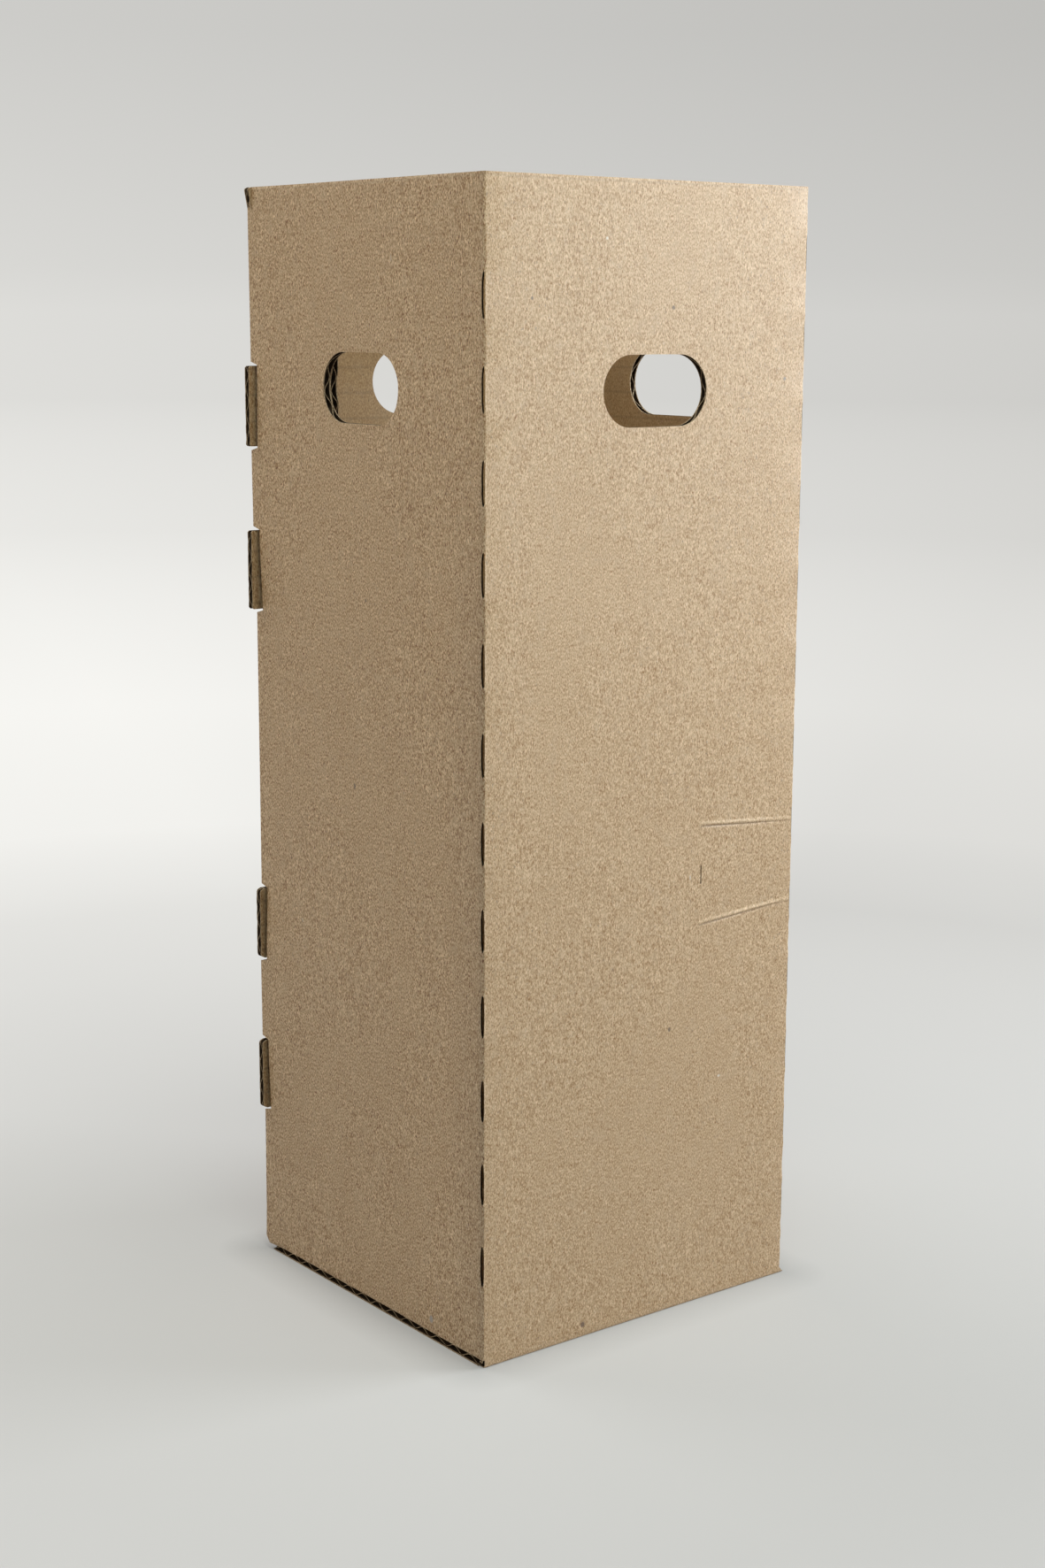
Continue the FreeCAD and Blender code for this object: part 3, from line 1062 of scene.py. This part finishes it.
def grain(tree, coordinates, scale, stretch, detail, seed, roughness=0.5):
    """Noise drawn out along Z, as the fibres of the liner lie."""
    place = add_node(
        tree,
        "ShaderNodeMapping",
        {"Vector": coordinates, "Location": (seed, seed * 0.7, seed * 1.3), "Scale": (1, 1, stretch)},
    )
    cloud = add_node(
        tree,
        "ShaderNodeTexNoise",
        {"Vector": place.outputs[0], "Scale": scale, "Detail": detail, "Roughness": roughness},
    )
    return cloud.outputs[0]


def tint(tree, colour, factor, toward):
    return add_node(tree, "ShaderNodeMix", {0: factor, 6: colour, 7: toward}, data_type="RGBA").outputs[2]


def brighten(tree, colour, factor):
    return add_node(tree, "ShaderNodeVectorMath", {0: colour, "Scale": factor}, operation="SCALE").outputs[0]


def grained(tree, base, change):
    """Grain on the paper: light fibres go paler and dark ones redder, as an even step in every channel."""
    swing = tuple(part * step for part, step in zip(base[:3], grain_swing))
    moved = vector_node(tree, "ADD", brighten(tree, swing, change), base[:3])
    return vector_node(tree, "MAXIMUM", moved, darkest_paper)


def speck_spots(tree, place, colour, specks, along, across, face):
    """Small specks at their own places on one wall, given along the wall from the near fold."""
    parts = axes(tree, place)
    on_face = below(tree, parts[across], face + 0.4 * MM)
    start = y_front if along == 1 else x_left

    def squared_share(value, half):
        share = math_node(tree, "DIVIDE", math_node(tree, "ABSOLUTE", value), half * MM)
        return math_node(tree, "POWER", share, 2.0)

    for run, level, half_run, half_rise, ink in specks:
        wide = squared_share(minus(tree, parts[along], start + run * MM), half_run)
        tall = squared_share(minus(tree, parts[2], level * MM), half_rise)
        reach = ramp_between(tree, plus(tree, wide, tall), 0.3, 1.1, 0.85, 0.0)
        colour = tint(tree, colour, times(tree, reach, on_face), ink)
    return colour


def painted_shade_and_highlights(tree, place):
    """Painted shade and highlights on the outside: painted shade in a line under the rim, along the near
    fold of the left wall, towards the foot and in the pressed grooves, painted highlights along the pressed
    ridges, and a paler line beside each slit.
    """
    x, y, z = axes(tree, place)
    # Painted shade: a dark line just under the rim.
    ragged = times(tree, grain(tree, place, 1400, 1.0, 2, 31.0), 0.5 * MM)
    level = plus(tree, z, ragged)
    under = ramp_between(tree, level, rim - 1.25 * MM, rim - 0.75 * MM)
    over = ramp_between(tree, level, rim - 0.55 * MM, rim - 0.15 * MM, 1.0, 0.0)
    rim_painted_shade = times(tree, times(tree, under, over), -0.16)
    on_left = below(tree, x, x_left + 0.5 * MM)
    # Painted shade along the near fold of the left wall, lower down, with more in its crease.
    painted_fold_shade = ramp_between(tree, y, y_front + 0.5 * MM, y_front + 19 * MM, -0.17, 0.0)
    painted_fold_shade = times(tree, painted_fold_shade, ramp_between(tree, z, 0.21, 0.28, 1.0, 0.15))
    painted_crease_shade = ramp_between(tree, y, y_front + 0.8 * MM, y_front + 3.2 * MM, -0.10, 0.0)
    painted_left_fold_shade = times(tree, plus(tree, painted_fold_shade, painted_crease_shade), on_left)
    # Painted shade: the outside grows darker towards the foot.
    low = ramp_between(tree, z, 0.0, 0.22, -0.07, 0.0)
    painted_light = plus(tree, plus(tree, rim_painted_shade, painted_left_fold_shade), low)
    pitch = slit_row[1] - slit_row[0]
    turn = math_node(tree, "MODULO", minus(tree, z, slit_row[0] - pitch / 2), pitch)
    turn = math_node(tree, "ABSOLUTE", minus(tree, turn, pitch / 2))
    beside = ramp_between(tree, turn, slit_length / 2 - 0.3 * MM, slit_length / 2 + 0.5 * MM, 0.24, 0.0)
    lip = ramp_between(tree, x, x_left + 0.7 * MM, x_left + 1.0 * MM, 1.0, 0.0)
    near_side = below(tree, y, y_front + slit_shift)
    lip = times(tree, times(tree, lip, near_side), beside)
    painted_light = plus(tree, painted_light, lip)
    on_front = below(tree, y, y_front + 0.5 * MM)
    within = times(tree, ramp_between(tree, x, mark_start - 0.3 * MM, mark_start), on_front)
    for low, rise in marks:
        slope = rise / (mark_end - mark_start)
        line = times_plus(tree, x, -slope, slope * mark_start - low)
        off = plus(tree, z, line)
        # Painted highlight along each pressed ridge, and painted shade in the groove below it.
        glint = math_node(tree, "ABSOLUTE", minus(tree, off, 0.35 * MM))
        glint = ramp_between(tree, glint, 0.25 * MM, 0.7 * MM, 0.26, 0.0)
        groove = math_node(tree, "ABSOLUTE", plus(tree, off, 0.75 * MM))
        fade = ramp_between(tree, x, mark_start, mark_end, -0.30, -0.06)
        groove = times(tree, ramp_between(tree, groove, 0.15 * MM, 0.4 * MM, 1.0, 0.0), fade)
        painted_light = plus(tree, painted_light, times(tree, plus(tree, glint, groove), within))
    return painted_light


def new_material(name, roughness, specular):
    material = bpy.data.materials.new(name)
    material.use_nodes = True
    tree = material.node_tree
    shader = tree.nodes["Principled BSDF"]
    shader.inputs["Roughness"].default_value = roughness
    shader.inputs["Specular IOR Level"].default_value = specular
    return material, tree, shader


def kraft_paper(name, base, pale, dark, contrast, seed, outside=False):
    """Uncoated kraft liner: cloudy formation, fine upright fibres, and dark and pale flecks."""
    material, tree, shader = new_material(name, 0.55, 0.8)
    place = add_node(tree, "ShaderNodeTexCoord").outputs["Object"]
    formation = grain(tree, place, 95, 0.7, 3, seed)
    blotch = grain(tree, place, 620, 0.55, 3, seed + 1, 0.6)
    fibre = grain(tree, place, 2700, 0.5, 2, seed + 2, 0.6)
    hair = grain(tree, place, 4600, 0.3, 1, seed + 3)
    dark_fleck = grain(tree, place, 1900, 0.45, 2, seed + 4)
    pale_fleck = grain(tree, place, 1700, 0.5, 2, seed + 5)
    cool = grain(tree, place, 330, 0.8, 2, seed + 6)
    speck = add_node(tree, "ShaderNodeTexVoronoi", {"Vector": place, "Scale": 75.0}, feature="F1")
    tone = ramp_between(tree, formation, 0.3, 0.7, -0.026, 0.026)
    for cloud, strength in ((blotch, 0.07), (fibre, 0.62), (hair, 0.36)):
        reach = strength * contrast
        tone = plus(tree, tone, ramp_between(tree, cloud, 0.3, 0.7, -reach, reach))
    x, y, z = axes(tree, place)
    on_left = below(tree, x, x_left + 0.5 * MM)
    tone = times(tree, tone, times_plus(tree, on_left, 0.46, 0.80))
    if outside:
        # Painted highlights are added to the grain, and painted shade darkens the colour.
        painted_light = painted_shade_and_highlights(tree, place)
        tone = plus(tree, tone, math_node(tree, "MAXIMUM", painted_light, 0.0))
        shade = plus(tree, math_node(tree, "MINIMUM", painted_light, 0.0), 1.0)
    else:
        flute = math_node(tree, "SINE", times(tree, z, 2 * math.pi / flute_pitch))
        shade = ramp_between(tree, flute, -1.0, -0.9, 0.84, 1.0)
        # Painted shade on the tabs, darker towards their roots beside the left wall.
        on_tabs = below(tree, x, x_left + 0.3 * MM)
        painted_tab_shade = ramp_between(tree, x, x_left - 2.6 * MM, x_left, -0.15, -0.5)
        shade = times_plus(tree, painted_tab_shade, on_tabs, shade)
    colour = brighten(tree, grained(tree, base, tone), math_node(tree, "MAXIMUM", shade, 0.15))
    greyer = tuple(0.86 * part + 0.05 for part in base[:3]) + (1,)
    colour = tint(tree, colour, ramp_between(tree, cool, 0.52, 0.72, 0, 0.3), greyer)
    colour = tint(tree, colour, ramp_between(tree, dark_fleck, 0.64, 0.73, 0, 0.6), dark)
    colour = tint(tree, colour, ramp_between(tree, pale_fleck, 0.65, 0.74, 0, 0.5), pale)
    chance = add_node(tree, "ShaderNodeSeparateColor", {0: speck.outputs["Color"]}).outputs[0]
    size = ramp_between(tree, chance, 0.0, 0.3, 0.026, 0.0)
    spot = below(tree, speck.outputs["Distance"], size)
    colour = tint(tree, colour, times(tree, spot, 0.6), dark)
    if outside:
        colour = speck_spots(tree, place, colour, left_specks, 1, 0, x_left)
        colour = speck_spots(tree, place, colour, front_specks, 0, 1, y_front)
    tree.links.new(colour, shader.inputs["Base Color"])
    height = plus(tree, fibre, times(tree, hair, 0.5))
    bump = add_node(tree, "ShaderNodeBump", {"Height": height, "Strength": 0.03, "Distance": 0.05 * MM})
    tree.links.new(bump.outputs[0], shader.inputs["Normal"])
    return material


def plain_paper(name, light, dark, scale):
    material, tree, shader = new_material(name, 0.85, 0.2)
    place = add_node(tree, "ShaderNodeTexCoord").outputs["Object"]
    colour = tint(tree, light, ramp_between(tree, grain(tree, place, scale, 1.0, 3, 12.0), 0.35, 0.65), dark)
    tree.links.new(colour, shader.inputs["Base Color"])
    return material


# Camera, floor and light

def add_object(name, data):
    item = bpy.data.objects.new(name, data)
    bpy.context.scene.collection.objects.link(item)
    return item


def photo_camera():
    data = bpy.data.cameras.new("photo_camera")
    data.sensor_fit = "VERTICAL"
    data.sensor_height = sensor_height
    data.lens = camera_lens
    data.clip_start = 0.01
    data.clip_end = 100
    camera = add_object("photo_camera", data)
    camera.location = Vector((x_left, y_front, 0)) + camera_offset
    turn, tilt, roll = camera_yaw, camera_pitch, camera_roll
    ahead = Vector((math.cos(tilt) * math.sin(turn), math.cos(tilt) * math.cos(turn), -math.sin(tilt)))
    level_right = Vector((math.cos(turn), -math.sin(turn), 0))
    level_up = level_right.cross(ahead)
    right = level_right * math.cos(roll) + level_up * math.sin(roll)
    up = level_up * math.cos(roll) - level_right * math.sin(roll)
    camera.rotation_euler = Matrix((right, up, -ahead)).transposed().to_euler()
    bpy.context.view_layer.update()
    bpy.context.scene.camera = camera


def shade_side(tree, place):
    """A factor that falls from the back left to the right, as the photograph's backdrop does."""
    x, y, z = axes(tree, place)
    side = minus(tree, x, y)
    return ramp_between(tree, side, -0.56, 0.21, 1.0, 0.82)


def camera_and_mirror_rays(tree):
    ray = add_node(tree, "ShaderNodeLightPath")
    seen = math_node(tree, "MAXIMUM", ray.outputs["Is Camera Ray"], ray.outputs["Is Glossy Ray"])
    return math_node(tree, "MAXIMUM", seen, ray.outputs["Is Transmission Ray"])


def tone_ramp(tree, value, stops):
    node = tree.nodes.new("ShaderNodeValToRGB")
    node.color_ramp.elements[0].position = stops[0][0]
    node.color_ramp.elements[1].position = stops[-1][0]
    for place, grey in stops[1:-1]:
        node.color_ramp.elements.new(place)
    for element, (place, grey) in zip(node.color_ramp.elements, stops):
        element.color = (grey * 1.008, grey, grey * 0.965, 1)
    tree.links.new(value, node.inputs[0])
    return node.outputs[0]


def studio_floor():
    bpy.ops.mesh.primitive_circle_add(vertices=96, radius=40, fill_type="NGON", location=(0, 0, 0))
    floor = bpy.context.active_object
    floor.name = "studio_floor"
    material, tree, shader = new_material("studio_floor", 0.7, 0.2)
    shader.inputs["Base Color"].default_value = (0.61, 0.597, 0.575, 1)
    place = add_node(tree, "ShaderNodeTexCoord").outputs["Object"]
    distance = length_of(tree, place)
    stops = [
        (0.010, 0.64),
        (0.020, 0.67),
        (0.039, 0.79),
        (0.056, 0.87),
        (0.080, 0.89),
        (0.115, 0.92),
        (0.170, 0.885),
        (0.270, 0.81),
        (0.800, 0.735),
    ]
    colour = tone_ramp(tree, ramp_between(tree, distance, 0.0, 10.0), stops)
    direction = vector_node(tree, "NORMALIZE", place)
    fade = ramp_between(tree, distance, 0.1, 0.5)
    side = minus(tree, shade_side(tree, direction), 1.0)
    side = times_plus(tree, side, fade, 1.0)
    # Painted light on the floor: close to the box the glow is lighter behind it and darker in front of it.
    back = ramp_between(tree, axes(tree, place)[1], -0.2, 0.25, -0.12, 0.20)
    side = times_plus(tree, back, minus(tree, 1.0, fade), side)
    # Painted shadow: the glow darkens close round the box's footprint.
    offset = vector_node(tree, "SUBTRACT", vector_node(tree, "ABSOLUTE", place), (x_right, y_back, 0.0))
    apart = length_of(tree, vector_node(tree, "MAXIMUM", offset))
    painted_contact_shadow = math_node(tree, "POWER", ramp_between(tree, apart, 0.0, 0.015, 0.25, 1.0), 0.40)
    side = times(tree, side, painted_contact_shadow)
    glow = add_node(tree, "ShaderNodeEmission", {"Color": brighten(tree, colour, side), "Strength": 1.0})
    far = ramp_between(tree, distance, 0.12, 0.7, 0.45, 1.0)
    seen = times(tree, camera_and_mirror_rays(tree), far)
    mix = add_node(tree, "ShaderNodeMixShader", {0: seen, 1: shader.outputs[0], 2: glow.outputs[0]})
    tree.links.new(mix.outputs[0], tree.nodes["Material Output"].inputs[0])
    floor.data.materials.append(material)


def soft_light(name, place, aim, size, watts, colour):
    data = bpy.data.lights.new(name, "AREA")
    data.color = colour
    data.shape = "RECTANGLE"
    data.size, data.size_y = size
    data.energy = watts
    lamp = add_object(name, data)
    lamp.location = place
    lamp.rotation_euler = (Vector(aim) - Vector(place)).to_track_quat("-Z", "Y").to_euler()


def studio_world():
    """Faint even light all round, and a grey backdrop for what the camera sees past the floor."""
    world = bpy.data.worlds.new("studio")
    bpy.context.scene.world = world
    world.use_nodes = True
    tree = world.node_tree
    tree.nodes.clear()
    room = add_node(tree, "ShaderNodeBackground", {"Color": (1, 1, 1, 1), "Strength": world_strength})
    direction = add_node(tree, "ShaderNodeTexCoord").outputs["Generated"]
    height = axes(tree, direction)[2]
    stops = [(0.0, 0.735), (0.07, 0.70), (0.44, 0.62), (1.0, 0.60)]
    colour = tone_ramp(tree, ramp_between(tree, height, 0.0, 0.25), stops)
    colour = brighten(tree, colour, shade_side(tree, direction))
    backdrop = add_node(tree, "ShaderNodeBackground", {"Color": colour, "Strength": 1.0})
    seen = camera_and_mirror_rays(tree)
    mix = add_node(tree, "ShaderNodeMixShader", {0: seen, 1: room.outputs[0], 2: backdrop.outputs[0]})
    output = tree.nodes.new("ShaderNodeOutputWorld")
    tree.links.new(mix.outputs[0], output.inputs[0])


# The box

KRAFT, CHANNEL_SHADE, CUT, INNER = range(4)
papers = [
    kraft_paper("kraft_liner", liner_brown, liner_pale, liner_dark, 1.0, 0.0, True),
    # Painted shade: the paper inside the board, in the flute channels, is near black.
    plain_paper("flute_channel_painted_shade", (0.07, 0.042, 0.022, 1), (0.03, 0.018, 0.01, 1), 900.0),
    plain_paper("cut_edge", (0.56, 0.43, 0.28, 1), (0.24, 0.16, 0.09, 1), 1600.0),
    kraft_paper("inner_liner_paper", inside_brown, inside_pale, inside_dark, 0.7, 3.0),
]

outer, middle, inner = sleeve_plies()
tabs = [corner_tab(4 - index, *tab) for index, tab in enumerate(tab_table)]
corner = back_corner()
dust_flaps = [
    dust_flap("left_dust_flap", x_left + fold_outside, x_left + dust_reach),
    dust_flap("right_dust_flap", x_right - fold_outside, x_right - dust_reach),
]
for piece in [outer, middle, inner, corner, *tabs, *dust_flaps]:
    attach(piece, "walls")
    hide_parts("wall_sleeve")

panel = bottom_panel()
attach(panel, "flap")
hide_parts("bottom_flap")

fold = foot_fold()
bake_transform(fold)

photo_camera()
studio_floor()
studio_world()
for name, place, aim, size, watts, colour in lamps:
    soft_light(name, place, aim, (size, size), watts, colour)
bpy.context.scene.view_settings.view_transform = "Standard"
